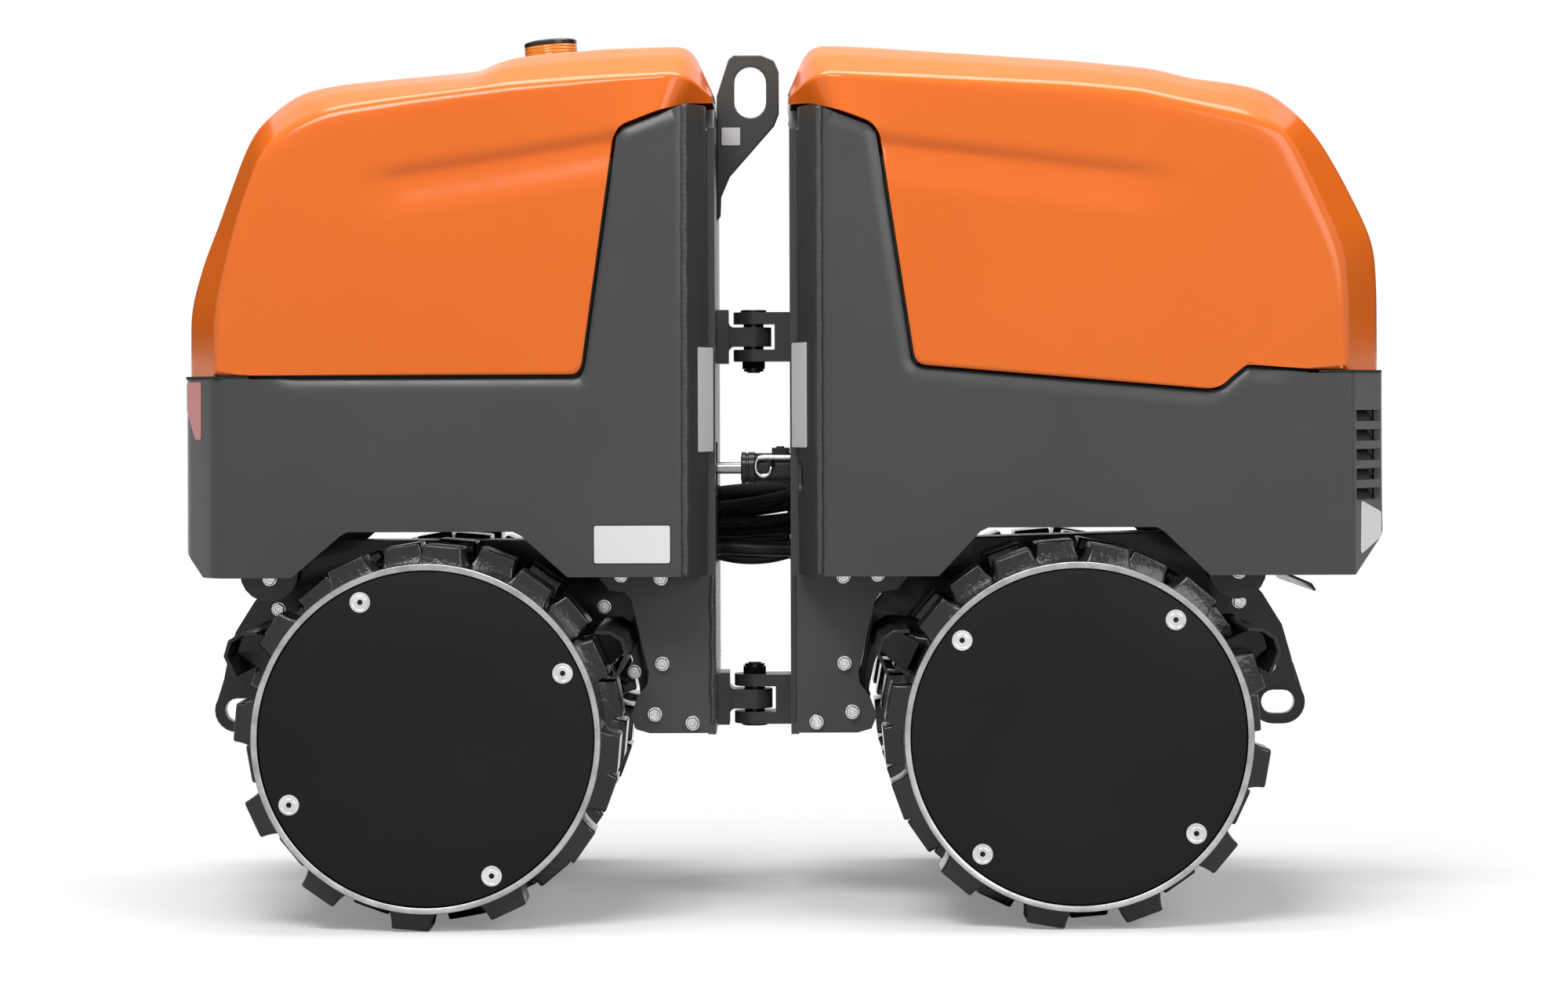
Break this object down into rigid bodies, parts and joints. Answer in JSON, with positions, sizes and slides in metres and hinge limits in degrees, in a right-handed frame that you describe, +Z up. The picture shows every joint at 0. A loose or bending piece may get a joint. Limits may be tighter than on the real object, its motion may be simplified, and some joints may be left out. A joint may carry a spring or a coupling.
{
  "type": "trench roller",
  "caption": "Articulated trench roller: two hooded body halves hinged at a central hitch, padfoot drum halves, steering cylinder, opening hoods, lifting and tow eyes.",
  "frame": {"origin": "on the floor below the middle of the machine's box", "axes": "+X towards the front half (louvred end), +Y to the machine's left, +Z up"},
  "size_m": [1.806, 0.82, 1.3448],
  "materials": {
    "grey_paint": "semi-gloss dark grey paint",
    "orange_paint": "gloss orange",
    "black_paint": "gloss black paint",
    "cast_drum": "gloss black paint on rough casting",
    "cover_plate": "matte black",
    "zinc": "bright zinc plate",
    "chrome": "polished rod",
    "rubber": "matte black rubber",
    "amber_lens": "clear amber lens",
    "cast_block": "plain engine block"
  },
  "bodies": {
    "rear_half": {"rear_frame": "grey_paint", "rear_chassis": "grey_paint", "rear_carrier": "black_paint", "rear_buffer_inner_right": "rubber", "rear_buffer_inner_left": "rubber", "rear_buffer_outer_right": "rubber", "rear_buffer_outer_left": "rubber", "rear_hood_seal": "rubber", "lifting_eye": "grey_paint", "rear_ram_mount": "grey_paint", "hose_sleeve": "rubber", "hose_conduit_upper": "rubber", "hose_conduit_lower": "rubber", "hose_hydraulic_upper": "rubber", "hose_hydraulic_lower": "rubber"},
    "front_half": {"front_frame": "grey_paint", "front_chassis": "grey_paint", "front_carrier": "black_paint", "front_buffer_inner_right": "rubber", "front_buffer_inner_left": "rubber", "front_buffer_outer_right": "rubber", "front_buffer_outer_left": "rubber", "front_hood_seal": "rubber", "front_ram_mount": "grey_paint", "upper_hitch_pin": "zinc", "lower_hitch_pin": "zinc", "engine_block": "cast_block", "deflector": "black_paint"},
    "rear_hood": {"rear_hood": "orange_paint", "beacon_base": "black_paint", "beacon_lens": "amber_lens", "beacon_cap": "black_paint"},
    "rear_lid": {"lid": "orange_paint"},
    "front_hood": {"front_hood": "orange_paint"},
    "ram_barrel": {"cylinder_barrel": "black_paint"},
    "ram_rod": {"cylinder_rod": "chrome"},
    "rear_drum_right": {"rear_drum_right": "cast_drum", "rear_cover_right": "cover_plate"},
    "rear_drum_left": {"rear_drum_left": "cast_drum", "rear_cover_left": "cover_plate"},
    "front_drum_right": {"front_drum_right": "cast_drum", "front_cover_right": "cover_plate"},
    "front_drum_left": {"front_drum_left": "cast_drum", "front_cover_left": "cover_plate"}
  },
  "joints": [
    {"name": "steering", "type": "hinge", "parent": "rear_half", "child": "front_half", "pos_m": [-0.0475, 0, 0.59], "axis": [0, 0, 1], "range_deg": [-30, 30], "deforming": ["hose_sleeve", "hose_conduit_upper", "hose_conduit_lower", "hose_hydraulic_upper", "hose_hydraulic_lower"]},
    {"name": "rear_right_drum_spin", "type": "hinge", "parent": "rear_half", "child": "rear_drum_right", "pos_m": [-0.523, -0.2425, 0.2827], "axis": [0, 1, 0], "continuous": true},
    {"name": "rear_left_drum_spin", "type": "hinge", "parent": "rear_half", "child": "rear_drum_left", "pos_m": [-0.523, 0.2425, 0.2827], "axis": [0, 1, 0], "continuous": true},
    {"name": "front_right_drum_spin", "type": "hinge", "parent": "front_half", "child": "front_drum_right", "pos_m": [0.428, -0.2425, 0.2827], "axis": [0, 1, 0], "continuous": true},
    {"name": "front_left_drum_spin", "type": "hinge", "parent": "front_half", "child": "front_drum_left", "pos_m": [0.428, 0.2425, 0.2827], "axis": [0, 1, 0], "continuous": true},
    {"name": "rear_hood_lift", "type": "hinge", "parent": "rear_half", "child": "rear_hood", "pos_m": [-0.893, 0, 0.823], "axis": [0, -1, 0], "range_deg": [0, 60]},
    {"name": "front_hood_lift", "type": "hinge", "parent": "front_half", "child": "front_hood", "pos_m": [0.893, 0, 0.823], "axis": [0, 1, 0], "range_deg": [0, 60]},
    {"name": "lid_lift", "type": "hinge", "parent": "rear_hood", "child": "rear_lid", "pos_m": [-0.572, 0, 1.262], "axis": [0, 1, 0], "range_deg": [0, 70]},
    {"name": "ram_swing", "type": "hinge", "parent": "front_half", "child": "ram_barrel", "pos_m": [0.27, -0.085, 0.67], "axis": [0, 0, 1], "range_deg": [-9, 9]},
    {"name": "ram_slide", "type": "slide", "parent": "ram_barrel", "child": "ram_rod", "axis": [-1, 0, 0], "range_m": [-0.044, 0.044]}
  ],
  "couplings": [
    {"joint": "ram_swing", "follows": "steering", "ratio": -0.296},
    {"joint": "ram_slide", "follows": "steering", "m_per_rad": 0.0836}
  ]
}
